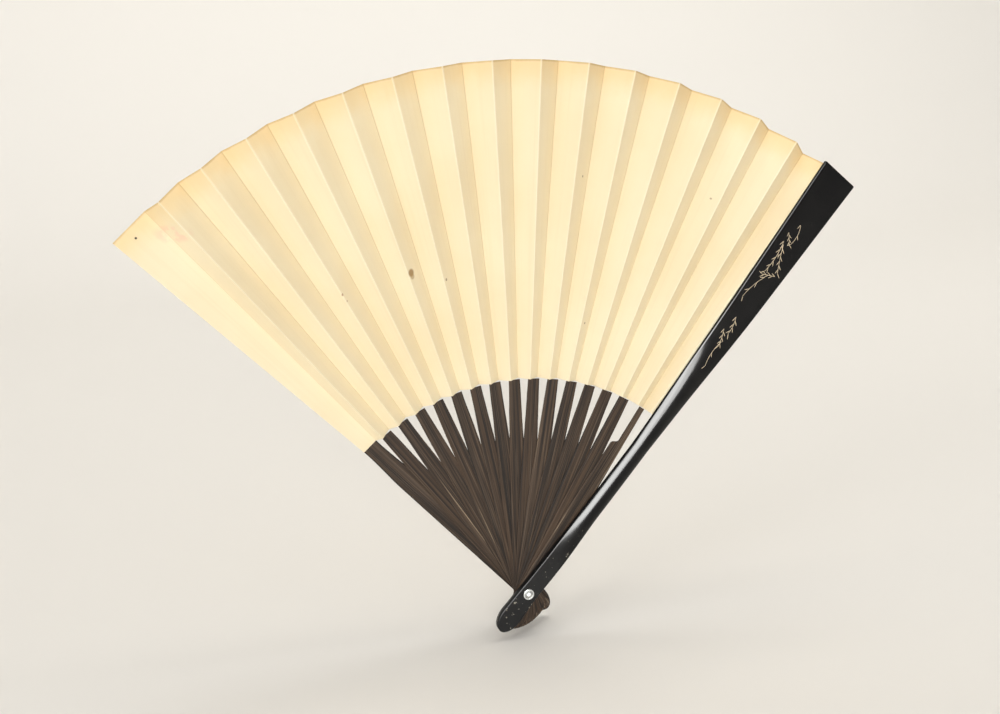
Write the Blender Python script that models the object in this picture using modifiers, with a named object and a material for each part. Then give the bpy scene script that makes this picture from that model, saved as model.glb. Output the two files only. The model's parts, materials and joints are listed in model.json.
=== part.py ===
"""Folding hand fan: fifteen bamboo ribs between two lacquered guards, all turning on one rivet,
with a pleated paper leaf glued to them.

Frame: the rivet's axis lies along Y through the origin, the fan's front faces -Y and the middle
of the open fan points along +Z. Sticks are counted from the rear guard on the left, stick 0,
through the ribs, sticks 1 to 15, to the front guard on the right, stick 16. A stick is drawn
standing on +Z, with x across it, and is then turned about the rivet by its angle. The leaf is
pleated: a rib panel on every rib runs from a front fold on its left edge to a back fold on its
right edge, and a free panel joins each back fold to the next stick's front fold.
"""
import math

import bmesh
import bpy

MM = 0.001

# Sticks
RIB_COUNT = 15
GAP_ANGLE = math.radians(5.11)           # between neighbouring sticks in the stored, open pose
STACK_PITCH = 0.95 * MM                  # from rib to rib along the rivet's axis, at the heads
TIP_PITCH = 0.45 * MM                    # the same, pressed together at the leaf's outer edge
CLEARANCE = 0.3 * MM                     # between neighbouring sticks and other touching pieces
RIB_HALF_WIDTH = 5.1 * MM
RIB_HEAD_HALF_WIDTH = 7.0 * MM
RIB_NECK_HALF_WIDTH = 2.8 * MM           # where the rib goes into the leaf
RIB_TAPER_START = 50 * MM
RIB_HEAD_END = 25.0 * MM                 # below the rivet
GUARD_HALF_WIDTH = 5.6 * MM
GUARD_HEAD_HALF_WIDTH = 6.4 * MM
GUARD_TIP_HALF_WIDTH = 12.3 * MM
GUARD_TAPER_START = 105 * MM
GUARD_HEAD_END = 26.5 * MM
GUARD_TIP = 295.5 * MM
GUARD_THICKNESS = 4.0 * MM
GUARD_TIP_THICKNESS = 1.5 * MM
GUARD_EDGE = 0.6 * MM
HEAD_WIDEST = 16 * MM                    # below the rivet

# Rivet
PIN_RADIUS = 1.5 * MM
HOLE_RADIUS = 1.8 * MM
WASHER_RADIUS = 3.1 * MM
WASHER_THICKNESS = 0.5 * MM
DOME_RADIUS = 2.0 * MM
DOME_HEIGHT = 1.1 * MM

# Leaf
LEAF_INNER = 123.8 * MM
LEAF_OUTER = 294.5 * MM
PAPER = 0.2 * MM                         # two plies glued together
PLEAT_DEPTH = 11.6 * MM                  # front fold to back fold, at the outer edge
RIB_PANEL_ANGLE = math.radians(2.53)     # how much of a gap one rib panel covers
END_PANEL_ANGLE = math.radians(4.3)      # the flat panels on the guards
FOLD_GAP = 0.3 * MM                      # panels stop this far short of their fold line
PANEL_ROWS = 6

FRONT_GUARD = RIB_COUNT + 1
MIDDLE_STICK = FRONT_GUARD / 2


def pitch(radius):
    """Stack pitch at a distance from the rivet: it closes up evenly from the heads to the tips."""
    share = (radius + GUARD_HEAD_END) / (LEAF_OUTER + GUARD_HEAD_END)
    return STACK_PITCH + (TIP_PITCH - STACK_PITCH) * share


def stick_y(stick, radius):
    return (MIDDLE_STICK - stick) * pitch(radius)


def stick_angle(stick):
    """Turn about +Y from +Z; the rear guard leans left and the front guard right."""
    return (stick - MIDDLE_STICK) * GAP_ANGLE


def guard_inner(radius):
    """Distance of a guard's inner face from the fan's middle plane."""
    share = (radius + GUARD_HEAD_END) / (GUARD_TIP + GUARD_HEAD_END)
    thinning = (GUARD_THICKNESS - GUARD_TIP_THICKNESS) * share
    return (MIDDLE_STICK - 0.5) * STACK_PITCH + CLEARANCE / 2 + thinning


GUARD_OUTER = guard_inner(-GUARD_HEAD_END) + GUARD_THICKNESS


def clear_scene():
    for old in list(bpy.data.objects):
        bpy.data.objects.remove(old, do_unlink=True)


def new_collection(name):
    collection = bpy.data.collections.new(name)
    bpy.context.scene.collection.children.link(collection)
    return collection


def finish_material(name, color, roughness, metallic):
    material = bpy.data.materials.new(name)
    material.use_nodes = True
    shader = material.node_tree.nodes["Principled BSDF"]
    shader.inputs["Base Color"].default_value = (*color, 1)
    shader.inputs["Roughness"].default_value = roughness
    shader.inputs["Metallic"].default_value = metallic
    return material


def add_object(name, mesh, material, collection, stick=None):
    """Links a mesh as an object that turns about the rivet axis by its stick's angle."""
    part = bpy.data.objects.new(name, mesh)
    part.data.materials.clear()
    part.data.materials.append(material)
    if stick is not None:
        part.rotation_euler.y = stick_angle(stick)
    collection.objects.link(part)
    return part


def half_outline(half_width, head_half_width, head_end, upper):
    """Right-hand side of a stick's outline, from the round end of its head to its tip.

    upper lists the half widths above the plain shank as (half width, distance) pairs."""
    head_steps = 6
    round_length = head_end - HEAD_WIDEST
    side = []
    for step in range(head_steps):
        turn = math.pi / 2 * step / head_steps
        side.append((head_half_width * math.sin(turn), -HEAD_WIDEST - round_length * math.cos(turn)))
    side.append((head_half_width, -HEAD_WIDEST))
    side.append((half_width, 0))
    return side + upper


def slat_mesh(name, side, front_y, back_y):
    """A flat stick with the rivet's hole: the outline given by its right-hand side, between two faces
    whose y is a function of the distance from the rivet."""
    left = [(-x, z) for x, z in reversed(side) if x > 0]
    hole_sides = 24
    hole = [
        (HOLE_RADIUS * math.cos(math.tau * i / hole_sides), HOLE_RADIUS * math.sin(math.tau * i / hole_sides))
        for i in range(hole_sides)
    ]
    curve = bpy.data.curves.new(name, "CURVE")
    curve.dimensions = "2D"
    curve.fill_mode = "BOTH"
    curve.extrude = 0.5 * MM
    for points in (side + left, hole):
        spline = curve.splines.new("POLY")
        spline.points.add(len(points) - 1)
        for point, (x, z) in zip(spline.points, points):
            point.co = (x, z, 0, 1)
        spline.use_cyclic_u = True
    outline = bpy.data.objects.new(name, curve)
    bpy.context.scene.collection.objects.link(outline)
    depsgraph = bpy.context.evaluated_depsgraph_get()
    mesh = bpy.data.meshes.new_from_object(outline.evaluated_get(depsgraph))
    bpy.data.objects.remove(outline)
    mesh.name = name
    for vertex in mesh.vertices:
        x, z, depth = vertex.co
        vertex.co = (x, front_y(z) if depth > 0 else back_y(z), z)
    tidy_mesh(mesh)
    return mesh


def tidy_mesh(mesh):
    shape = bmesh.new()
    shape.from_mesh(mesh)
    bmesh.ops.remove_doubles(shape, verts=shape.verts, dist=0.01 * MM)
    bmesh.ops.recalc_face_normals(shape, faces=shape.faces)
    shape.to_mesh(mesh)
    shape.free()


def add_rib(stick, material, collection):
    side = half_outline(
        RIB_HALF_WIDTH,
        RIB_HEAD_HALF_WIDTH,
        RIB_HEAD_END,
        [(RIB_HALF_WIDTH, RIB_TAPER_START), (RIB_NECK_HALF_WIDTH, LEAF_INNER - CLEARANCE)],
    )

    def face(z, toward):
        return stick_y(stick, z) + toward * (pitch(z) - CLEARANCE) / 2

    name = f"rib_{stick:02d}"
    mesh = slat_mesh(name, side, lambda z: face(z, -1), lambda z: face(z, 1))
    return add_object(name, mesh, material, collection, stick)


def add_guard(name, stick, toward, material, collection):
    """toward is +1 for the rear guard and -1 for the front guard."""
    side = half_outline(
        GUARD_HALF_WIDTH,
        GUARD_HEAD_HALF_WIDTH,
        GUARD_HEAD_END,
        [(GUARD_HALF_WIDTH, GUARD_TAPER_START), (GUARD_TIP_HALF_WIDTH, GUARD_TIP)],
    )
    faces = {
        1: (guard_inner, lambda z: GUARD_OUTER),
        -1: (lambda z: -GUARD_OUTER, lambda z: -guard_inner(z)),
    }
    front_y, back_y = faces[toward]
    guard = add_object(name, slat_mesh(name, side, front_y, back_y), material, collection, stick)
    edge = guard.modifiers.new("rounded edges", "BEVEL")
    edge.width = GUARD_EDGE
    edge.segments = 2
    edge.limit_method = "ANGLE"
    edge.angle_limit = math.radians(50)
    return guard


def leaf_point(radius, turn, y):
    """A point of the leaf at a distance from the rivet, turned about +Y from +Z."""
    return (radius * math.sin(turn), y, radius * math.cos(turn))


def add_panel(name, left, right, material, collection, stick):
    """One panel of the leaf: a sheet ruled between its left and right fold lines.

    left and right give a fold line's (turn, y) at a distance from the rivet, in the stick's frame."""
    shape = bmesh.new()
    rows = []
    for row in range(PANEL_ROWS + 1):
        radius = LEAF_INNER + (LEAF_OUTER - LEAF_INNER) * row / PANEL_ROWS
        ends = [leaf_point(radius, *line(radius)) for line in (left, right)]
        span = math.dist(*ends)
        inset = FOLD_GAP / span
        row_points = []
        for share in (inset, 0.5, 1 - inset):
            row_points.append([a + (b - a) * share for a, b in zip(*ends)])
        rows.append([shape.verts.new(point) for point in row_points])
    for lower, upper in zip(rows, rows[1:]):
        for i in range(2):
            shape.faces.new((lower[i], lower[i + 1], upper[i + 1], upper[i]))
    mesh = bpy.data.meshes.new(name)
    shape.to_mesh(mesh)
    shape.free()
    panel = add_object(name, mesh, material, collection, stick)
    thickness = panel.modifiers.new("paper thickness", "SOLIDIFY")
    thickness.thickness = PAPER
    thickness.offset = 0
    return panel


def end_panel_y(radius):
    """Distance of a guard's flat panel from the middle plane: it lies on the guard's inner face."""
    return guard_inner(radius) - CLEARANCE - PAPER / 2


def half_depth(radius):
    return PLEAT_DEPTH / 2 * radius / LEAF_OUTER


def front_fold(stick, seen_from):
    """The fold line on a stick's left edge, in the frame of the stick it is seen from."""
    offset = (stick - seen_from) * GAP_ANGLE
    if stick == FRONT_GUARD:
        return lambda radius: (offset - END_PANEL_ANGLE / 2, -end_panel_y(radius))
    return lambda radius: (offset - RIB_PANEL_ANGLE / 2, stick_y(stick, radius) - half_depth(radius))


def back_fold(stick):
    """The fold line on a stick's right edge, in its own frame."""
    if stick == 0:
        return lambda radius: (END_PANEL_ANGLE / 2, end_panel_y(radius))
    return lambda radius: (RIB_PANEL_ANGLE / 2, stick_y(stick, radius) + half_depth(radius))


def add_leaf(material, collection):
    def rear_edge(radius):
        return (-END_PANEL_ANGLE / 2, end_panel_y(radius))

    def front_edge(radius):
        return (END_PANEL_ANGLE / 2, -end_panel_y(radius))

    add_panel("leaf_end_rear", rear_edge, back_fold(0), material, collection, 0)
    for stick in range(1, FRONT_GUARD):
        name = f"leaf_rib_panel_{stick:02d}"
        add_panel(name, front_fold(stick, stick), back_fold(stick), material, collection, stick)
    for stick in range(FRONT_GUARD):
        name = f"leaf_free_panel_{stick:02d}"
        add_panel(name, back_fold(stick), front_fold(stick + 1, stick), material, collection, stick)
    front = front_fold(FRONT_GUARD, FRONT_GUARD)
    add_panel("leaf_end_front", front, front_edge, material, collection, FRONT_GUARD)


def turned(name, profile, material, collection, closed=False):
    """A piece turned about the rivet's axis from (radius, y) points."""
    mesh = bpy.data.meshes.new(name)
    edges = [(i, i + 1) for i in range(len(profile) - 1)]
    if closed:
        edges.append((len(profile) - 1, 0))
    mesh.from_pydata([(radius, 0, -y) for radius, y in profile], edges, [])
    part = add_object(name, mesh, material, collection)
    part.rotation_euler.x = math.pi / 2
    spin = part.modifiers.new("turning", "SCREW")
    spin.steps = 24
    spin.render_steps = 24
    spin.use_merge_vertices = True
    spin.merge_threshold = 0.01 * MM
    return part


def add_rivet(material, collection):
    """The pin with a dome at each end, and a washer under each dome."""
    washer_inner = GUARD_OUTER + CLEARANCE
    washer_outer = washer_inner + WASHER_THICKNESS
    dome_base = washer_outer + CLEARANCE
    dome_steps = 4
    dome = []
    for step in range(dome_steps + 1):
        turn = math.pi / 2 * step / dome_steps
        dome.append((DOME_RADIUS * math.sin(turn), dome_base + DOME_HEIGHT * math.cos(turn)))
    half = dome + [(PIN_RADIUS, dome_base)]
    profile = [(radius, -y) for radius, y in half] + list(reversed(half))
    turned("rivet", profile, material, collection)
    ring = [
        (WASHER_RADIUS, washer_inner),
        (WASHER_RADIUS, washer_outer),
        (HOLE_RADIUS, washer_outer),
        (HOLE_RADIUS, washer_inner),
    ]
    turned("rear_washer", ring, material, collection, closed=True)
    front_ring = [(radius, -y) for radius, y in reversed(ring)]
    turned("front_washer", front_ring, material, collection, closed=True)


def build():
    clear_scene()
    fan = new_collection("hand_fan")
    bamboo = finish_material("stained bamboo", (0.075, 0.042, 0.026), 0.55, 0)
    lacquer = finish_material("black lacquer", (0.008, 0.008, 0.009), 0.15, 0)
    paper = finish_material("cream paper", (0.88, 0.78, 0.55), 0.8, 0)
    nickel = finish_material("nickel silver", (0.66, 0.67, 0.66), 0.3, 1)
    add_guard("rear_guard", 0, 1, lacquer, fan)
    for stick in range(1, FRONT_GUARD):
        add_rib(stick, bamboo, fan)
    add_guard("front_guard", FRONT_GUARD, -1, lacquer, fan)
    add_leaf(paper, fan)
    add_rivet(nickel, fan)


build()
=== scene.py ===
"""The looks of a folding hand fan: a pleated paper leaf, stained bamboo ribs, black lacquered guards
with engraved sprigs, and a nickel rivet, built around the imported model.

The fan's front faces -Y and the rivet's axis lies along Y through the origin. A stick stands on +Z
with x across it, and is turned about the rivet by its own angle.
"""
import json
import math

import bmesh
import bpy
import numpy as np
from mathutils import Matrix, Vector


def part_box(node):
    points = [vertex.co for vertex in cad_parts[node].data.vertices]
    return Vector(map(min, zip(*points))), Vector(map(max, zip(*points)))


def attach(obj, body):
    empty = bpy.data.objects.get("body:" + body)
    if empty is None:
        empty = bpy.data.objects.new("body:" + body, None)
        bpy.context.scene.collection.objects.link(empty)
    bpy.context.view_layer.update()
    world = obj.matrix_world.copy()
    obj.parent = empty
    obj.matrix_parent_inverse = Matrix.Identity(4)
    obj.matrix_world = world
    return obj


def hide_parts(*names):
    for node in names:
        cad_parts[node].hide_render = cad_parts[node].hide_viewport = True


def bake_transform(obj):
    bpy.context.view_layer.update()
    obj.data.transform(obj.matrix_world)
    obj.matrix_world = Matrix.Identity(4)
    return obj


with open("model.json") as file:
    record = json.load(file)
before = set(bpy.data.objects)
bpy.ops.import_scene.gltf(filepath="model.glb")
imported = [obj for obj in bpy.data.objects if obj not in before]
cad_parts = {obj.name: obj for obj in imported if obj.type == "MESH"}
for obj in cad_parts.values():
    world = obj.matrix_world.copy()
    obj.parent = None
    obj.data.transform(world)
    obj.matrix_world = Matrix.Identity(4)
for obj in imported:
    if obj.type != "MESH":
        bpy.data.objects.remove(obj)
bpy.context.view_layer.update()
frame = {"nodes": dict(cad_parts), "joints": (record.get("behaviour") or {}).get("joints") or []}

MM = 0.001
RIB_COUNT = 15
FRONT_GUARD = RIB_COUNT + 1                               # sticks are counted from the rear guard, 0
GAP = math.radians(-frame["joints"][0]["range_deg"][0])   # a closing fan brings neighbours together

# Leaf
PAPER = 0.2 * MM
PLEAT_DEPTH = 11.6 * MM                  # front fold to back fold at the rim
STACK_PITCH = 0.95 * MM                  # from rib to rib at the heads
TIP_PITCH = 0.45 * MM                    # the same at the rim
PANEL_TURN = GAP / 2
END_PANEL_TURN = math.radians(4.3)
RIB_BLADE_HALF_WIDTH = 1.6 * MM          # of the ridge that a blade leaves in the paper
END_BLADE_HALF_WIDTH = 7.5 * MM
BLADE_EDGE = 0.5 * MM

# Ribs
RIB_HALF_WIDTH = 5.1 * MM
RIB_NECK_HALF_WIDTH = 3.2 * MM           # at the leaf
RIB_TAPER_START = 50 * MM
RIB_HEAD_WEAR = 1.0 * MM                 # how much shorter the rearmost head is worn
RIB_BREAK_START = 98 * MM                # on the foremost rib
RIB_BREAK_LENGTH = 2.5 * MM
RIB_SECTION_POWER = 0.32                 # nearer 0 is boxier
HEAD_WIDEST = 16 * MM                    # below the rivet
HOLE_RADIUS = 1.8 * MM

# Guards
GUARD_CLEARANCE = 0.35 * MM              # to the end panel that is glued on
GUARD_HALF_WIDTH = 5.6 * MM
GUARD_HEAD_HALF_WIDTH = 6.4 * MM
GUARD_TIP_HALF_WIDTH = 12.3 * MM
GUARD_TAPER_START = 105 * MM
GUARD_BOW = 2.7 * MM                     # of the front guard, by age
GUARD_CORNER = 0.6 * MM
GUARD_EDGE = 0.45 * MM
GUARD_CROWN = 2.3 * MM                   # height of the rounded shank over its edges
REAR_GUARD_SET_BACK = 1.6 * MM           # at the leaf's inner edge, and as much again at its rim
INNER_FACE_INSET = 0.45 * MM
INNER_FACE_THICKNESS = 0.3 * MM

# Rivet
WASHER_ROUND = 0.22 * MM
CUP_DEPTH = 0.3 * MM                     # of the ring pressed round the dome
PIN_RADIUS = 1.5 * MM
DOME_HEIGHT = 1.4 * MM


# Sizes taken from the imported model

def turn_of(stick):
    return (stick - FRONT_GUARD / 2) * GAP


def body_of_stick(stick):
    if stick == 0:
        return "root"
    return "front_guard_body" if stick == FRONT_GUARD else f"rib_{stick:02d}_body"


def standing(node, stick):
    """A CAD node's points turned back so that its stick stands on +Z."""
    points = np.array([v.co for v in frame["nodes"][node].data.vertices])
    turn = turn_of(stick)
    x, y, z = points.T
    return np.stack([x * math.cos(turn) - z * math.sin(turn), y, x * math.sin(turn) + z * math.cos(turn)], 1)


def line_through(points):
    """y = start + slope * distance, fitted to points of a flat face."""
    slope, start = np.polyfit(points[:, 2], points[:, 1], 1)
    return float(start), float(slope)


def rib_planes(stick):
    """The middle plane's line and the thickness line of a rib."""
    points = standing(f"rib_{stick:02d}", stick)
    middle = line_through(points)
    off = points[:, 1] - (middle[0] + middle[1] * points[:, 2])
    slope, start = np.polyfit(points[:, 2], 2 * np.abs(off), 1)
    return middle, (float(start), float(slope))


LEAF_INNER = float(np.hypot(*standing("leaf_rib_panel_08", 8)[:, [0, 2]].T).min())
LEAF_OUTER = float(np.hypot(*standing("leaf_rib_panel_08", 8)[:, [0, 2]].T).max())
GUARD_POINTS = standing("front_guard", FRONT_GUARD)
GUARD_TIP = float(GUARD_POINTS[:, 2].max())
GUARD_HEAD_END = float(-GUARD_POINTS[:, 2].min())
GUARD_OUTER = float(-GUARD_POINTS[:, 1].min())
GUARD_INNER = line_through(standing("leaf_end_rear", 0))
RIB_POINTS = standing("rib_08", 8)
RIB_HEAD_END = float(-RIB_POINTS[:, 2].min())
RIB_HEAD_HALF_WIDTH = float(RIB_POINTS[:, 0].max())
RIB_TOP = float(RIB_POINTS[:, 2].max())


# Node trees

class Wire:
    """An output socket that takes part in arithmetic: each operation adds a Math node."""

    def __init__(self, tree, socket):
        self.tree = tree
        self.socket = socket

    def math(self, operation, *values):
        inputs = {i: value for i, value in enumerate((self, *values))}
        return self.tree.add("ShaderNodeMath", {"operation": operation}, inputs)

    def __add__(self, other):
        return self.math("ADD", other)

    __radd__ = __add__

    def __sub__(self, other):
        return self.math("SUBTRACT", other)

    def __rsub__(self, other):
        return (self * -1) + other

    def __mul__(self, other):
        return self.math("MULTIPLY", other)

    __rmul__ = __mul__

    def __truediv__(self, other):
        return self.math("DIVIDE", other)

    def __pow__(self, other):
        return self.math("POWER", other)

    def __neg__(self):
        return self * -1

    def clamped(self):
        return self.math("MAXIMUM", 0.0).math("MINIMUM", 1.0)

    def ramp(self, low, high):
        """0 below low, 1 above high, and smooth between."""
        share = ((self - low) / (high - low)).clamped()
        return share * share * (3 - share * 2)


class Tree:
    """A node tree with one way to make any node."""

    def __init__(self, tree):
        self.tree = tree

    def add(self, kind, settings=None, inputs=None, output=0):
        """Makes a node: its settings first, then its sockets' values or links. Returns one output."""
        node = self.tree.nodes.new(kind)
        for name, value in (settings or {}).items():
            setattr(node, name, value)
        for key, value in (inputs or {}).items():
            if isinstance(value, Wire):
                self.tree.links.new(value.socket, node.inputs[key])
            else:
                node.inputs[key].default_value = value
        return Wire(self, node.outputs[output])

    def split(self, vector):
        node = self.add("ShaderNodeSeparateXYZ", inputs={0: vector}).socket.node
        return [Wire(self, node.outputs[i]) for i in range(3)]

    def join(self, x, y, z):
        return self.add("ShaderNodeCombineXYZ", inputs={0: x, 1: y, 2: z})

    def mix(self, share, first, second):
        """A mix of two colours."""
        return self.add("ShaderNodeMix", {"data_type": "RGBA"}, {0: share, 6: first, 7: second}, 2)


# Materials

def shader(name, metallic=0.0, roughness=0.5, **sockets):
    """A Principled material and its tree; sockets hold values that are the same all over."""
    material = bpy.data.materials.new(name)
    material.use_nodes = True
    principled = material.node_tree.nodes["Principled BSDF"]
    principled.inputs["Metallic"].default_value = metallic
    principled.inputs["Roughness"].default_value = roughness
    for key, value in sockets.items():
        principled.inputs[key.replace("_", " ")].default_value = value
    return material, Tree(material.node_tree), principled


def feed(tree, principled, color, height, bump_distance, bump_strength, rough=None):
    """Links a colour, a relief and, where it varies, a roughness to a Principled shader."""
    tree.tree.links.new(color.socket, principled.inputs["Base Color"])
    if rough is not None:
        tree.tree.links.new(rough.socket, principled.inputs["Roughness"])
    values = {"Height": height, "Distance": bump_distance, "Strength": bump_strength}
    bump = tree.add("ShaderNodeBump", inputs=values)
    tree.tree.links.new(bump.socket, principled.inputs["Normal"])


def noise_of(tree, vector, scale, detail=4.0, roughness=0.5):
    values = {"Vector": vector, "Scale": scale, "Detail": detail, "Roughness": roughness}
    return tree.add("ShaderNodeTexNoise", inputs=values)


def spot(x, z, middle_x, middle_z, half_width, half_height):
    """1 in the middle of a stain on the open fan, falling to 0 at its edge."""
    across = (x - middle_x) / half_width
    along = (z - middle_z) / half_height
    far = (across * across + along * along).math("SQRT")
    return 1 - far.ramp(0.5, 1.0)


STAINS = (
    # x and z on the open fan, half width and half height in mm, strength, and colour
    (-54.2, 188.4, 2.2, 2.6, 0.85, (0.34, 0.19, 0.06, 1)),
    (-53.6, 186.4, 1.6, 2.0, 0.6, (0.42, 0.26, 0.10, 1)),
    (-189.7, 216.9, 0.8, 0.8, 0.95, (0.02, 0.015, 0.01, 1)),
    (-35.6, 183.1, 0.7, 1.0, 0.7, (0.25, 0.16, 0.08, 1)),
    (42.8, 231.8, 0.6, 0.9, 0.7, (0.25, 0.16, 0.08, 1)),
    (41.1, 151.6, 0.7, 0.8, 0.7, (0.25, 0.16, 0.08, 1)),
    (-91.1, 180.4, 0.7, 1.0, 0.7, (0.36, 0.18, 0.08, 1)),
    (-88.9, 176.8, 0.5, 0.6, 0.6, (0.36, 0.18, 0.08, 1)),
    (116.4, 214.7, 0.7, 0.7, 0.6, (0.25, 0.16, 0.08, 1)),
)


def paper_material():
    """Cream paper, yellowed at its rim, darkened along its back folds as painted shade and lightened along
    its front folds as a painted highlight and as wear.
    """
    material, tree, principled = shader("aged cream paper", roughness=0.8, Specular_IOR_Level=0.2)
    place = tree.add("ShaderNodeTexCoord", output=3)
    ridge = tree.add("ShaderNodeAttribute", {"attribute_name": "ridge"}, output=2)
    blade = tree.add("ShaderNodeAttribute", {"attribute_name": "blade"}, output=2)
    x, y, z = tree.split(place)
    radius = (x * x + z * z).math("SQRT")
    share = (radius - LEAF_INNER) / (LEAF_OUTER - LEAF_INNER)
    fibres = noise_of(tree, place, 900.0, 6.0, 0.7)
    clouds = noise_of(tree, place, 18.0, 3.0)
    mottle = noise_of(tree, place, 120.0, 4.0, 0.6)
    streaks = noise_of(tree, tree.join(x / radius * 160, z / radius * 160, share * 1.5), 1.0, 4.0, 0.6)
    color = tree.mix(clouds.ramp(0.35, 0.7), (0.83, 0.71, 0.48, 1), (0.85, 0.745, 0.525, 1))
    color = tree.mix(streaks.ramp(0.5, 0.75) * 0.16, color, (0.70, 0.57, 0.35, 1))
    color = tree.mix(fibres.ramp(0.55, 0.8) * 0.10, color, (0.62, 0.50, 0.30, 1))
    rim = (share + (mottle - 0.5) * 0.05).ramp(0.90, 1.0)
    color = tree.mix(rim * 0.55, color, (0.84, 0.60, 0.27, 1))
    brink = (share + (mottle - 0.5) * 0.008).ramp(0.992, 0.999)
    color = tree.mix(brink * 0.55, color, (0.48, 0.29, 0.10, 1))
    # painted shade: the paper is darkened along each back fold, where the crease lies in shade
    color = tree.mix(ridge.ramp(0.05, 0.0) * 0.5, color, (0.52, 0.39, 0.20, 1))
    # painted highlight, with some wear: the paper is lightened along each front fold, where the fold catches
    # the light
    color = tree.mix(ridge.ramp(0.955, 0.985) * 0.45, color, (0.95, 0.88, 0.70, 1))
    seal = spot(x, z, -172 * MM, 218 * MM, 11 * MM, 6 * MM) * mottle.ramp(0.44, 0.6)
    color = tree.mix(seal * 0.3, color, (0.88, 0.42, 0.34, 1))
    for px, pz, width, height, strength, stain in STAINS:
        mark = spot(x, z, px * MM, pz * MM, width * MM, height * MM)
        color = tree.mix(mark * strength, color, stain)
    height = fibres * 0.22 + clouds * 0.6 + blade * 0.35 + streaks * 0.25
    feed(tree, principled, color=color, rough=0.74 + fibres * 0.12, height=height, bump_distance=0.5 * MM,
         bump_strength=0.3)
    return material


def bamboo_material():
    """Bamboo stained nearly black, its fibres rubbed back to brown in thin lines."""
    material, tree, principled = shader("stained bamboo", roughness=0.5, Specular_IOR_Level=0.13)
    grain = tree.add("ShaderNodeAttribute", {"attribute_name": "grain"}, output=1)
    across, along, seed = tree.split(grain)
    fine = noise_of(tree, tree.join(across * 2600 + seed * 7, along * 16, seed * 3), 1.0, 4.0, 0.6)
    streaks = noise_of(tree, tree.join(across * 900 + seed * 5, along * 9, seed * 2), 1.0, 4.0, 0.6)
    broad = noise_of(tree, tree.join(across * 240 + seed, along * 5, seed), 1.0, 3.0)
    brown = tree.mix(streaks.ramp(0.35, 0.72), (0.013, 0.0078, 0.0046, 1), (0.070, 0.040, 0.021, 1))
    brown = tree.mix(fine.ramp(0.52, 0.72) * 0.7, brown, (0.16, 0.112, 0.075, 1))
    brown = tree.mix(broad.ramp(0.52, 0.78) * 0.35, brown, (0.20, 0.14, 0.095, 1))
    bare = streaks.ramp(0.60, 0.68) * broad.ramp(0.56, 0.66)
    brown = tree.mix(bare * 0.75, brown, (0.52, 0.40, 0.26, 1))
    end_wear = (along * -1000).ramp(17.0, 27.0) * fine.ramp(0.5, 0.62)
    brown = tree.mix(end_wear * 0.5, brown, (0.34, 0.27, 0.19, 1))
    feed(tree, principled, color=brown, rough=0.48 + fine * 0.3, height=fine * 0.5 + streaks * 0.5,
         bump_distance=0.22 * MM, bump_strength=0.6)
    return material


def lacquer_material():
    """Black lacquer, glossy along the shank and rubbed and chipped towards the head."""
    material, tree, principled = shader("black lacquer", roughness=0.16, Specular_IOR_Level=0.18,
                                        Coat_Weight=0.08, Coat_Roughness=0.05)
    place = tree.add("ShaderNodeTexCoord", output=3)
    x, y, z = tree.split(place)
    radius = (x * x + z * z).math("SQRT") * 1000
    near_head = radius.ramp(62.0, 20.0)
    dust = noise_of(tree, place, 750.0, 5.0, 0.7)
    chips = noise_of(tree, place, 420.0, 3.0, 0.6)
    smears = noise_of(tree, place, 55.0, 4.0, 0.6)
    black = tree.mix(smears.ramp(0.4, 0.75), (0.0025, 0.0025, 0.003, 1), (0.006, 0.006, 0.006, 1))
    black = tree.mix(dust.ramp(0.62, 0.8) * (0.12 + near_head * 0.5), black, (0.15, 0.14, 0.11, 1))
    black = tree.mix(chips.ramp(0.66, 0.70) * near_head * 0.8, black, (0.42, 0.39, 0.32, 1))
    rough = 0.10 + smears * 0.14 + near_head * (0.10 + dust * 0.3)
    feed(tree, principled, color=black, rough=rough, height=smears * 0.6 + dust * near_head * 0.5,
         bump_distance=0.2 * MM, bump_strength=0.15)
    return material


def nickel_material():
    material, tree, principled = shader("nickel silver", metallic=1.0, roughness=0.3)
    place = tree.add("ShaderNodeTexCoord", output=3)
    wear = noise_of(tree, place, 900.0, 5.0, 0.6)
    metal = tree.mix(wear.ramp(0.45, 0.75), (0.62, 0.63, 0.62, 1), (0.40, 0.41, 0.40, 1))
    feed(tree, principled, color=metal, rough=0.22 + wear * 0.25, height=wear, bump_distance=0.05 * MM,
         bump_strength=0.3)
    return material


def engraving_material():
    material, tree, principled = shader("engraved line fill", roughness=0.6)
    place = tree.add("ShaderNodeTexCoord", output=3)
    worn = noise_of(tree, place, 1500.0, 3.0)
    gold = tree.mix(worn.ramp(0.45, 0.8), (0.58, 0.47, 0.30, 1), (0.30, 0.24, 0.15, 1))
    feed(tree, principled, color=gold, height=worn, bump_distance=0.03 * MM, bump_strength=0.5)
    return material


# Geometry Nodes

KINDS = {"float": "NodeSocketFloat", "int": "NodeSocketInt", "material": "NodeSocketMaterial",
         "vector": "NodeSocketVector"}


def geometry_tree(name, inputs):
    """An empty geometry tree with named inputs; returns it and its input wires."""
    group = bpy.data.node_groups.new(name, "GeometryNodeTree")
    group.interface.new_socket("Geometry", in_out="OUTPUT", socket_type="NodeSocketGeometry")
    for title, kind in inputs:
        group.interface.new_socket(title, in_out="INPUT", socket_type=KINDS[kind])
    tree = Tree(group)
    entry = group.nodes.new("NodeGroupInput")
    wires = {title: Wire(tree, entry.outputs[title]) for title, _ in inputs}
    return tree, wires


def end_tree(tree, geometry, material):
    real = tree.add("GeometryNodeRealizeInstances", inputs={0: geometry})
    finished = tree.add("GeometryNodeSetMaterial", inputs={"Geometry": real, "Material": material})
    leave = tree.tree.nodes.new("NodeGroupOutput")
    tree.tree.links.new(finished.socket, leave.inputs[0])


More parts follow.
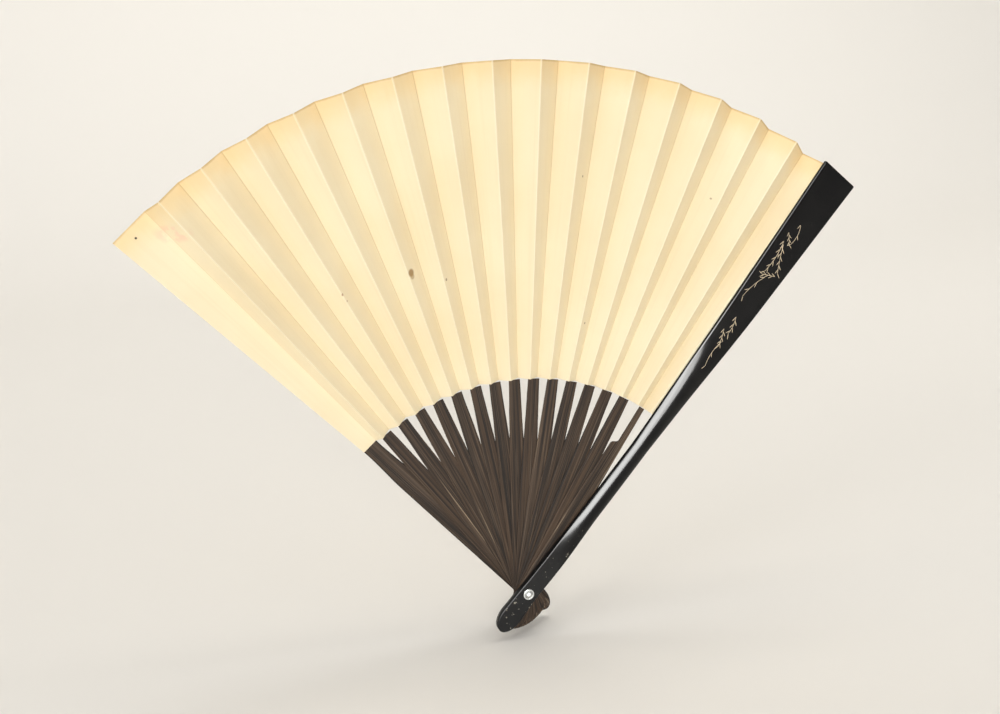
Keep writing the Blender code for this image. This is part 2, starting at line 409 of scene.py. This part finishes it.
def grown(name, group, values):
    """A plain mesh object from a geometry tree with these input values."""
    seed_mesh = bpy.data.meshes.new(name)
    holder = bpy.data.objects.new(name, seed_mesh)
    bpy.context.scene.collection.objects.link(holder)
    nodes = holder.modifiers.new("growth", "NODES")
    nodes.node_group = group
    for item in group.interface.items_tree:
        if item.in_out == "INPUT" and item.name in values:
            nodes[item.identifier] = values[item.name]
    depsgraph = bpy.context.evaluated_depsgraph_get()
    mesh = bpy.data.meshes.new_from_object(holder.evaluated_get(depsgraph))
    holder.modifiers.remove(nodes)
    holder.data = mesh
    mesh.name = name
    bpy.data.meshes.remove(seed_mesh)
    while len(mesh.materials) > 1 and mesh.materials[0] is None:
        mesh.materials.pop(index=0)
    mesh.polygons.foreach_set("material_index", [0] * len(mesh.polygons))
    return holder


def smooth(piece, angle=35):
    piece.data.shade_smooth()
    piece.data.set_sharp_from_angle(angle=math.radians(angle))


# The leaf

def leaf_panel_tree():
    """A sheet ruled between two fold lines that run out from the rivet's axis."""
    names = ["Inner radius", "Outer radius", "Left turn", "Left y", "Left slope", "Right turn", "Right y",
             "Right slope", "Left ridge", "Right ridge", "Blade half width"]
    inputs = [(name, "float") for name in names] + [("Columns", "int"), ("Paper", "material")]
    tree, wires = geometry_tree("leaf panel", inputs)
    sizes = {"Size X": 1.0, "Size Y": 1.0, "Vertices X": wires["Columns"], "Vertices Y": 49}
    grid = tree.add("GeometryNodeMeshGrid", inputs=sizes)
    flat = Wire(tree, grid.socket.node.outputs["UV Map"])
    across, along, _ = tree.split(flat)
    radius = wires["Inner radius"] + (wires["Outer radius"] - wires["Inner radius"]) * along
    ends = []
    for side in ("Left", "Right"):
        turn = wires[f"{side} turn"]
        y = wires[f"{side} y"] + wires[f"{side} slope"] * radius
        ends.append(tree.join(radius * turn.math("SINE"), y, radius * turn.math("COSINE")))
    place = tree.add("ShaderNodeMix", {"data_type": "VECTOR"}, {0: across, 4: ends[0], 5: ends[1]}, 1)
    sheet = tree.add("GeometryNodeSetPosition", inputs={"Geometry": grid, "Position": place})
    stored = {"Geometry": sheet, "Name": "UVMap", "Value": flat}
    named = tree.add("GeometryNodeStoreNamedAttribute", {"data_type": "FLOAT2", "domain": "CORNER"}, stored)
    ridge = wires["Left ridge"] + (wires["Right ridge"] - wires["Left ridge"]) * across
    width = radius * (wires["Right turn"] - wires["Left turn"])
    off_middle = ((across - 0.5) * width).math("ABSOLUTE")
    half = wires["Blade half width"]
    blade = 1 - ((off_middle - half) / BLADE_EDGE).clamped()
    blade = blade * half.math("GREATER_THAN", 0.0)
    for title, value in (("ridge", ridge), ("blade", blade)):
        stored = {"Geometry": named, "Name": title, "Value": value}
        named = tree.add("GeometryNodeStoreNamedAttribute", {"data_type": "FLOAT"}, stored)
    end_tree(tree, named, wires["Paper"])
    return tree.tree


def sheet_line(stick):
    """Where a rib's sheet lies in the stack: its y at the rivet and the slope of the thinning stack."""
    steps = (RIB_COUNT + 1) / 2 - stick
    slope = (TIP_PITCH - STACK_PITCH) / (LEAF_OUTER + GUARD_HEAD_END)
    return steps * (STACK_PITCH + slope * GUARD_HEAD_END), steps * slope


def fold_lines():
    """For each stick, its left and right fold line as (turn, y at the rivet, slope)."""
    lines = {}
    start, slope = GUARD_INNER
    for stick, side in ((0, 1), (FRONT_GUARD, -1)):
        y = (side * start, side * slope)
        turn = turn_of(stick)
        lines[stick] = ((turn - END_PANEL_TURN / 2, *y), (turn + END_PANEL_TURN / 2, *y))
    steep = PLEAT_DEPTH / 2 / LEAF_OUTER
    for stick in range(1, FRONT_GUARD):
        start, slope = sheet_line(stick)
        turn = turn_of(stick)
        front = (turn - PANEL_TURN / 2, start, slope - steep)
        back = (turn + PANEL_TURN / 2, start, slope + steep)
        lines[stick] = (front, back)
    return lines


def fold_point(line, radius):
    turn, y, slope = line
    return Vector((radius * math.sin(turn), y + slope * radius, radius * math.cos(turn)))


def add_panel(name, group, left, right, ridges, blade, material):
    """A panel between two fold lines; ridges tell where its front fold (1) and its back fold (0) are.

    A panel without a blade has points on its two folds only, so it stays flat however far it's folded."""
    values = {"Inner radius": LEAF_INNER, "Outer radius": LEAF_OUTER, "Paper": material,
              "Columns": 25 if blade > 0 else 2,
              "Left ridge": ridges[0], "Right ridge": ridges[1], "Blade half width": blade}
    for side, line in (("Left", left), ("Right", right)):
        values.update({f"{side} turn": line[0], f"{side} y": line[1], f"{side} slope": line[2]})
    return grown(name, group, values)


def give_thickness(piece):
    solid = piece.modifiers.new("paper thickness", "SOLIDIFY")
    solid.thickness = PAPER
    solid.offset = 0


def bend_between(piece, left, right):
    """Bakes a free panel's placement into its points. It works out the direction square to both fold lines,
    which pass each other at a small distance, and the point on the right fold line across from the left
    one's start, but uses neither."""
    along_left = fold_point(left, LEAF_OUTER) - fold_point(left, 0)
    along_right = fold_point(right, LEAF_OUTER) - fold_point(right, 0)
    square = along_left.cross(along_right).normalized()
    start = fold_point(left, 0)
    end = start + square * square.dot(fold_point(right, 0) - start)
    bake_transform(piece)


def add_leaf(material):
    group = leaf_panel_tree()
    lines = fold_lines()
    rear = add_panel("rear_end_panel", group, *lines[0], (0.5, 0.1), END_BLADE_HALF_WIDTH, material)
    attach(rear, "root")
    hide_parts("leaf_end_rear")
    front = add_panel("front_end_panel", group, *lines[FRONT_GUARD], (1.0, 0.5), END_BLADE_HALF_WIDTH,
                      material)
    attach(front, "front_guard_body")
    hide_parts("leaf_end_front")
    panels = [rear, front]
    for stick in range(1, FRONT_GUARD):
        panel = add_panel(f"rib_panel_{stick:02d}", group, *lines[stick], (1.0, 0.0), RIB_BLADE_HALF_WIDTH,
                          material)
        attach(panel, body_of_stick(stick))
        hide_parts(f"leaf_rib_panel_{stick:02d}")
        panels.append(panel)
    for stick in range(FRONT_GUARD):
        left, right = lines[stick][1], lines[stick + 1][0]
        panel = add_panel(f"free_panel_{stick:02d}", group, left, right, (0.0, 1.0), 0.0, material)
        bend_between(panel, left, right)
        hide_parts(f"leaf_free_panel_{stick:02d}")
        panels.append(panel)
    for panel in panels:
        give_thickness(panel)


# The ribs

def rib_tree():
    """A bamboo slat: a turned tube pressed into a rounded, tapering section, with the rivet's hole."""
    names = ["Turn", "Middle y", "Middle slope", "Thickness", "Thickness slope", "Seed", "Head end",
             "Broken from"]
    inputs = [(name, "float") for name in names] + [("Bamboo", "material")]
    tree, wires = geometry_tree("bamboo rib", inputs)
    tube_sizes = {"Vertices": 24, "Side Segments": 150, "Radius": 1.0, "Depth": 1.0}
    tube = tree.add("GeometryNodeMeshCylinder", {"fill_type": "NGON"}, tube_sizes)
    around_x, around_y, height = tree.split(tree.add("GeometryNodeInputPosition"))
    head_end = wires["Head end"]
    length = RIB_TOP + head_end
    z = (height + 0.5) * length - head_end
    taper = ((z - RIB_TAPER_START) / (RIB_TOP - RIB_TAPER_START)).clamped()
    half = RIB_HALF_WIDTH + taper * (RIB_NECK_HALF_WIDTH - RIB_HALF_WIDTH)
    half = half + (z / -HEAD_WIDEST).clamped() * (RIB_HEAD_HALF_WIDTH - RIB_HALF_WIDTH)
    end_share = ((-z - HEAD_WIDEST) / (head_end - HEAD_WIDEST)).clamped()
    half = half * (1.002 - end_share * end_share).math("SQRT")
    worn_at = tree.join(wires["Seed"] * 3.7, around_x * 0.4, z * 60)
    worn = noise_of(tree, worn_at, 1.0, 3.0) - 0.5
    half = half * (1 + worn * 0.14)
    ragged_at = tree.join(wires["Seed"] * 2.3, around_x * 3.2, z * 260)
    ragged = noise_of(tree, ragged_at, 1.0, 4.0, 0.7) - 0.5
    half = half * (1 + ragged * end_share * 0.5)
    broken = (z - wires["Broken from"]).ramp(0.0, RIB_BREAK_LENGTH) * 0.95
    left_side = around_x.math("LESS_THAN", 0.0)
    half = half * (1 - broken * left_side)
    x = half * around_x.math("SIGN") * around_x.math("ABSOLUTE") ** RIB_SECTION_POWER
    thick = (wires["Thickness"] + wires["Thickness slope"] * z) / 2 + 0.1 * MM
    y = thick * around_y.math("SIGN") * around_y.math("ABSOLUTE") ** RIB_SECTION_POWER
    y = y + wires["Middle y"] + wires["Middle slope"] * z
    stand = tree.join(x, y, z)
    shaped = tree.add("GeometryNodeSetPosition", inputs={"Geometry": tube, "Position": stand})
    pin_sizes = {"Vertices": 32, "Radius": HOLE_RADIUS, "Depth": 60 * MM}
    pin = tree.add("GeometryNodeMeshCylinder", {"fill_type": "NGON"}, pin_sizes)
    lying = tree.add("GeometryNodeTransform", inputs={"Geometry": pin, "Rotation": (math.pi / 2, 0, 0)})
    drilled = tree.add("GeometryNodeMeshBoolean", {"operation": "DIFFERENCE", "solver": "EXACT"},
                       {"Mesh 1": shaped, "Mesh 2": lying})
    across, _, along = tree.split(tree.add("GeometryNodeInputPosition"))
    stored = {"Geometry": drilled, "Name": "grain", "Value": tree.join(across, along, wires["Seed"])}
    named = tree.add("GeometryNodeStoreNamedAttribute", {"data_type": "FLOAT_VECTOR"}, stored)
    turned = tree.add("GeometryNodeTransform",
                      inputs={"Geometry": named, "Rotation": tree.join(0.0, wires["Turn"], 0.0)})
    end_tree(tree, turned, wires["Bamboo"])
    return tree.tree


def add_ribs(material):
    group = rib_tree()
    for stick in range(1, FRONT_GUARD):
        middle, thickness = rib_planes(stick)
        values = {
            "Turn": turn_of(stick),
            "Middle y": middle[0],
            "Middle slope": middle[1],
            "Thickness": thickness[0],
            "Thickness slope": thickness[1],
            "Seed": stick * 1.31,
            "Head end": RIB_HEAD_END - RIB_HEAD_WEAR * (1 - stick / RIB_COUNT) ** 1.5,
            "Broken from": RIB_BREAK_START if stick == RIB_COUNT else 1.0,
            "Bamboo": material,
        }
        rib = grown(f"bamboo_rib_{stick:02d}", group, values)
        smooth(rib)
        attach(rib, body_of_stick(stick))
        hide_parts(f"rib_{stick:02d}")


# The guards

def guard_half_width(z, side):
    """Half the width of a guard at a distance from the rivet; the rear one keeps just inside its paper."""
    if z < -HEAD_WIDEST:
        share = (-z - HEAD_WIDEST) / (GUARD_HEAD_END - HEAD_WIDEST)
        return GUARD_HEAD_HALF_WIDTH * math.sqrt(max(1.0 - share * share, 0.003))
    if z < 0:
        return GUARD_HALF_WIDTH + (GUARD_HEAD_HALF_WIDTH - GUARD_HALF_WIDTH) * -z / HEAD_WIDEST
    share = max(0.0, (z - GUARD_TAPER_START) / (GUARD_TIP - GUARD_TAPER_START))
    half = GUARD_HALF_WIDTH + (GUARD_TIP_HALF_WIDTH - GUARD_HALF_WIDTH) * share
    if side > 0:
        half -= REAR_GUARD_SET_BACK * smoothstep(z, 95 * MM, LEAF_INNER)
        half -= REAR_GUARD_SET_BACK * max(0.0, z - LEAF_INNER) / (GUARD_TIP - LEAF_INNER)
    into_corner = max(0.0, z - (guard_tip(side) - GUARD_CORNER)) / GUARD_CORNER
    return half - GUARD_CORNER * (1 - math.sqrt(max(0.0, 1 - into_corner * into_corner)))


def smoothstep(value, low, high):
    share = min(1.0, max(0.0, (value - low) / (high - low)))
    return share * share * (3 - 2 * share)


def guard_tip(side):
    return GUARD_TIP if side < 0 else LEAF_OUTER - 0.9 * MM


def guard_bow(z, side):
    """How far an aged front guard has bent outward from straight at a distance from the rivet."""
    if side > 0 or z < 0:
        return 0.0
    return GUARD_BOW * math.sin(math.pi * min(1.0, z / GUARD_TIP) ** 0.75)


def guard_section(z, side):
    """Points round a guard at a distance from the rivet; side is +1 for the rear guard, -1 for the front."""
    half = guard_half_width(z, side)
    crown = GUARD_CROWN * smoothstep(z, 22 * MM, 60 * MM) * (1 - smoothstep(z, 130 * MM, 205 * MM))
    points = []
    inner = GUARD_INNER[0] + GUARD_INNER[1] * z + GUARD_CLEARANCE
    for share in (-1.0, -0.97, 0.0, 0.97, 1.0):
        rounded = 0.2 * MM if abs(share) == 1 else 0.0
        points.append((share * half, side * (inner + rounded)))
    outer_steps = 18
    for step in range(outer_steps + 1):
        share = math.cos(math.pi * step / outer_steps)
        inward = half * (1 - abs(share))
        rounding = GUARD_EDGE * max(0.0, 1 - inward / GUARD_EDGE) ** 2 * 0.8
        drop = crown * share * share + rounding
        points.append((share * half, side * (GUARD_OUTER - drop)))
    return points


def guard_stations(side):
    """Distances from the rivet of the sections, close together where the outline is round."""
    below = GUARD_HEAD_END - HEAD_WIDEST
    shoulder = guard_tip(side) - GUARD_CORNER
    head = [-HEAD_WIDEST - below * math.cos(math.pi / 2 * i / 12) for i in range(12)]
    shank = [-HEAD_WIDEST + (shoulder + HEAD_WIDEST) * i / 90 for i in range(91)]
    tip = [shoulder + GUARD_CORNER * math.sin(math.pi / 2 * i / 6) for i in range(1, 7)]
    return head + shank + tip


def turned(point, turn):
    """A standing stick's point, turned with the stick about the rivet."""
    x, y, z = point
    return x * math.cos(turn) + z * math.sin(turn), y, z * math.cos(turn) - x * math.sin(turn)


def skin(shape, rings):
    """Faces between neighbouring rings of points."""
    count = len(rings[0])
    for lower, upper in zip(rings, rings[1:]):
        for i in range(count):
            following = (i + 1) % count
            shape.faces.new((lower[i], lower[following], upper[following], upper[i]))


def piece_from(shape, name, material):
    """Turns a finished bmesh into an object of one material."""
    bmesh.ops.recalc_face_normals(shape, faces=shape.faces)
    mesh = bpy.data.meshes.new(name)
    shape.to_mesh(mesh)
    shape.free()
    mesh.materials.append(material)
    piece = bpy.data.objects.new(name, mesh)
    bpy.context.scene.collection.objects.link(piece)
    return piece


def add_guard(name, node, stick, side, material):
    shape = bmesh.new()
    rings = []
    for z in guard_stations(side):
        bow = guard_bow(z, side)
        rings.append([shape.verts.new((x + bow, y, z)) for x, y in guard_section(z, side)])
    skin(shape, rings)
    shape.faces.new(rings[0])
    shape.faces.new(rings[-1])
    for vertex in shape.verts:
        vertex.co = turned(vertex.co, turn_of(stick))
    guard = piece_from(shape, name, material)
    smooth(guard, 50)
    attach(guard, body_of_stick(stick))
    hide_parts(node)


def add_inner_face(name, stick, side, material):
    """The bamboo a guard is made of, left bare on the side that meets the ribs."""
    shape = bmesh.new()
    rings = []
    steps = 96
    for step in range(steps + 1):
        z = -GUARD_HEAD_END + 0.6 * MM + (guard_tip(side) + GUARD_HEAD_END - 1.4 * MM) * step / steps
        half = guard_half_width(z, side) - INNER_FACE_INSET
        near = GUARD_INNER[0] + GUARD_INNER[1] * z + GUARD_CLEARANCE - 0.04 * MM
        far = near + INNER_FACE_THICKNESS
        outline = ((-half, near), (half, near), (half, far), (-half, far))
        bow = guard_bow(z, side)
        rings.append([shape.verts.new((x + bow, side * y, z)) for x, y in outline])
    skin(shape, rings)
    shape.faces.new(rings[0])
    shape.faces.new(rings[-1])
    face = piece_from(shape, name, material)
    grain = face.data.attributes.new("grain", "FLOAT_VECTOR", "POINT")
    for vertex in face.data.vertices:
        grain.data[vertex.index].vector = (vertex.co.x, vertex.co.z, 20.3 + stick)
        vertex.co = turned(vertex.co, turn_of(stick))
    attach(face, body_of_stick(stick))


# The rivet

def add_turned(name, node, profile, material):
    """A piece turned about the rivet's axis from (radius, y) points that form a closed outline."""
    shape = bmesh.new()
    steps = 64
    rings = []
    for step in range(steps):
        turn = math.tau * step / steps
        rings.append([shape.verts.new((r * math.cos(turn), y, r * math.sin(turn))) for r, y in profile])
    skin(shape, rings + rings[:1])
    bmesh.ops.remove_doubles(shape, verts=shape.verts, dist=0.001 * MM)
    piece = piece_from(shape, name, material)
    smooth(piece, 40)
    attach(piece, "root")
    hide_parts(node)


def add_rivet(material):
    low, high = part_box("rivet")
    dome_radius = (high.x - low.x) / 2
    for side, node in ((-1, "front_washer"), (1, "rear_washer")):
        ring_low, ring_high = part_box(node)
        outer = (ring_high.x - ring_low.x) / 2
        near = min(abs(ring_low.y), abs(ring_high.y)) - 0.25 * MM
        far = max(abs(ring_low.y), abs(ring_high.y))
        profile = []
        for step in range(7):
            turn = math.pi / 2 * step / 6
            profile.append((outer - WASHER_ROUND + WASHER_ROUND * math.cos(turn),
                            far - WASHER_ROUND + WASHER_ROUND * math.sin(turn)))
        profile += [(dome_radius + 0.45 * MM, far), (dome_radius + 0.1 * MM, far - CUP_DEPTH)]
        profile += [(HOLE_RADIUS, far - CUP_DEPTH), (HOLE_RADIUS, near), (outer, near)]
        outline = [(r, side * y) for r, y in profile]
        add_turned(node.replace("washer", "rivet_washer"), node, outline, material)
    base = high.y - DOME_HEIGHT
    half = []
    for step in range(13):
        turn = math.pi / 2 * step / 12
        half.append((dome_radius * math.sin(turn), base + (high.y - base) * math.cos(turn)))
    half.append((PIN_RADIUS, base - 0.1 * MM))
    profile = half + [(r, -y) for r, y in reversed(half)]
    add_turned("rivet_pin", "rivet", profile, material)


# The engraved sprigs on the front guard

def sprig_tree():
    """A curved stem with pointed leaves on alternate sides, lying on the guard's face."""
    inputs = [("Start", "vector"), ("Bend", "vector"), ("End", "vector"), ("Leaves", "int"),
              ("Leaf length", "float"), ("Fill", "material")]
    tree, wires = geometry_tree("engraved sprig", inputs)
    ends = {"Start": wires["Start"], "Middle": wires["Bend"], "End": wires["End"], "Resolution": 24}
    stem = tree.add("GeometryNodeCurveQuadraticBezier", inputs=ends)
    line = tree.add("GeometryNodeCurvePrimitiveCircle", inputs={"Resolution": 6, "Radius": 0.15 * MM})
    drawn = tree.add("GeometryNodeCurveToMesh",
                     inputs={"Curve": stem, "Profile Curve": line, "Fill Caps": True})
    spread = tree.add("GeometryNodeResampleCurve", inputs={"Curve": stem, "Count": wires["Leaves"]})
    blade = tree.add("GeometryNodeMeshUVSphere", inputs={"Segments": 8, "Rings": 6, "Radius": 0.5})
    slim = tree.add("GeometryNodeTransform",
                    inputs={"Geometry": blade, "Translation": (0.5, 0, 0), "Scale": (1.0, 0.13, 0.1)})
    tangent = tree.add("GeometryNodeInputTangent")
    index = tree.add("GeometryNodeInputIndex")
    side = index.math("MODULO", 2.0) * 2 - 1
    facing = tree.add("FunctionNodeAlignEulerToVector", {"axis": "X"}, {"Vector": tangent})
    swing = tree.add("FunctionNodeRotateEuler", {"rotation_type": "AXIS_ANGLE", "space": "OBJECT"},
                     {"Rotation": facing, "Axis": (0.0, 0.0, 1.0), "Angle": side * 0.55})
    size = wires["Leaf length"] * (0.75 + noise_of(tree, tree.join(index * 1.7, 0.0, 0.0), 1.0) * 0.6)
    grow = tree.join(size, size, size)
    placed = tree.add("GeometryNodeInstanceOnPoints",
                      inputs={"Points": spread, "Instance": slim, "Rotation": swing, "Scale": grow})
    both = tree.add("GeometryNodeJoinGeometry")
    for part in (drawn, placed):
        tree.tree.links.new(part.socket, both.socket.node.inputs[0])
    end_tree(tree, both, wires["Fill"])
    return tree.tree


SPRIGS = (
    # start, bend and end as (across, along) on the standing guard in mm, leaves, leaf length in mm
    ((-1.7, 259.0), (1.6, 254.5), (0.4, 247.5), 3, 2.6),
    ((-5.2, 251.5), (-3.0, 249.5), (-0.5, 246.5), 6, 2.4),
    ((-4.6, 246.0), (-1.8, 238.0), (-3.2, 226.5), 9, 3.0),
    ((-3.5, 244.5), (0.4, 236.0), (4.2, 229.8), 8, 3.0),
    ((4.0, 227.5), (0.5, 226.0), (-3.6, 224.0), 7, 2.8),
    ((-1.0, 223.5), (-5.0, 216.0), (-5.5, 207.5), 4, 3.0),
    ((-1.1, 196.0), (1.4, 191.0), (1.0, 186.0), 6, 3.2),
    ((-3.0, 186.5), (-0.4, 182.0), (0.6, 177.0), 7, 2.8),
    ((0.6, 180.0), (-1.6, 171.0), (1.2, 163.5), 3, 2.6),
)


def add_engraving(material):
    group = sprig_tree()
    for number, (start, bend, end, leaves, length) in enumerate(SPRIGS, 1):
        values = {"Leaves": leaves, "Leaf length": length * MM, "Fill": material}
        for title, (across, along) in (("Start", start), ("Bend", bend), ("End", end)):
            values[title] = (across * MM, along * MM, 0.0)
        sprig = grown(f"engraved_sprig_{number}", group, values)
        for vertex in sprig.data.vertices:
            x, z, out = vertex.co
            standing_point = (x + guard_bow(z, -1), -GUARD_OUTER - out * 0.25, z)
            vertex.co = turned(standing_point, turn_of(FRONT_GUARD))
        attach(sprig, "front_guard_body")


# Camera, light and floor

def add_camera():
    azimuth, elevation, roll = math.radians(16.29), math.radians(14.61), math.radians(-2.45)
    distance = 0.6563
    target = Vector((-7.6 * MM, 0, 137.3 * MM))
    forward = Vector((math.sin(azimuth) * math.cos(elevation), math.cos(azimuth) * math.cos(elevation),
                      -math.sin(elevation)))
    data = bpy.data.cameras.new("camera")
    data.lens = 43.35
    data.sensor_width = 36
    camera = bpy.data.objects.new("camera", data)
    bpy.context.scene.collection.objects.link(camera)
    camera.location = target - forward * distance
    camera.rotation_euler = forward.to_track_quat("-Z", "Y").to_euler()
    camera.rotation_euler.rotate_axis("Z", roll)
    bpy.context.scene.camera = camera


def add_light(name, place, target, size, power, color):
    data = bpy.data.lights.new(name, "AREA")
    data.shape = "RECTANGLE"
    data.size, data.size_y = size
    data.energy = power
    data.color = color
    light = bpy.data.objects.new(name, data)
    bpy.context.scene.collection.objects.link(light)
    light.location = place
    light.rotation_euler = (Vector(target) - Vector(place)).to_track_quat("-Z", "Y").to_euler()
    return light


def add_backdrop():
    """A floor that curves up into a wall behind the fan, as a sheet of studio paper does."""
    low = min(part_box(name)[0].z for name in ("front_guard", "rib_08")) - 1.5 * MM
    flat, bend, high, near, wide = 1.1, 0.9, 3.0, -9.0, 9.0
    profile = [(near, low), (0.0, low), (flat, low)]
    for step in range(1, 17):
        turn = math.pi / 2 * step / 16
        profile.append((flat + bend * math.sin(turn), low + bend * (1 - math.cos(turn))))
    profile.append((flat + bend, low + high))
    vertices = [(x, y, z) for y, z in profile for x in (-wide, wide)]
    faces = [(2 * i, 2 * i + 1, 2 * i + 3, 2 * i + 2) for i in range(len(profile) - 1)]
    mesh = bpy.data.meshes.new("backdrop")
    mesh.from_pydata(vertices, [], faces)
    mesh.shade_smooth()
    backdrop = bpy.data.objects.new("backdrop", mesh)
    bpy.context.scene.collection.objects.link(backdrop)
    material, _, _ = shader("pale studio paper", roughness=0.95, Base_Color=(0.775, 0.752, 0.712, 1))
    mesh.materials.append(material)


def add_studio():
    world = bpy.data.worlds.new("studio")
    world.use_nodes = True
    world.node_tree.nodes["Background"].inputs[0].default_value = (1.0, 0.985, 0.96, 1)
    world.node_tree.nodes["Background"].inputs[1].default_value = 0.38
    bpy.context.scene.world = world
    bpy.context.scene.view_settings.view_transform = "Standard"
    add_light("key", (-0.85, -2.8, 0.8), (0, 0, 0.15), (1.2, 1.2), 47, (1.0, 0.985, 0.965))
    add_light("side", (-4.4, -2.2, 2.0), (0, 0, 0.15), (1.6, 1.6), 32, (1.0, 0.985, 0.965))
    add_light("top", (-0.2, -0.3, 2.6), (-0.2, 0.0, 0.0), (2.4, 2.4), 4, (1.0, 0.99, 0.98))
    add_light("backdrop light", (0.6, 0.3, 2.7), (0.9, 2.0, 1.0), (1.8, 1.8), 44, (1.0, 0.98, 0.93))
    card = add_light("gloss card", (-0.6, -2.9, 0.55), (0, 0, 0.12), (2.4, 1.5), 340, (1.0, 1.0, 0.98))
    card.visible_diffuse = False
    add_backdrop()


def build():
    paper = paper_material()
    bamboo = bamboo_material()
    lacquer = lacquer_material()
    nickel = nickel_material()
    add_leaf(paper)
    add_ribs(bamboo)
    add_guard("lacquered_rear_guard", "rear_guard", 0, 1, lacquer)
    add_guard("lacquered_front_guard", "front_guard", FRONT_GUARD, -1, lacquer)
    add_inner_face("rear_guard_inner_face", 0, 1, bamboo)
    add_inner_face("front_guard_inner_face", FRONT_GUARD, -1, bamboo)
    add_rivet(nickel)
    add_engraving(engraving_material())
    add_camera()
    add_studio()


build()
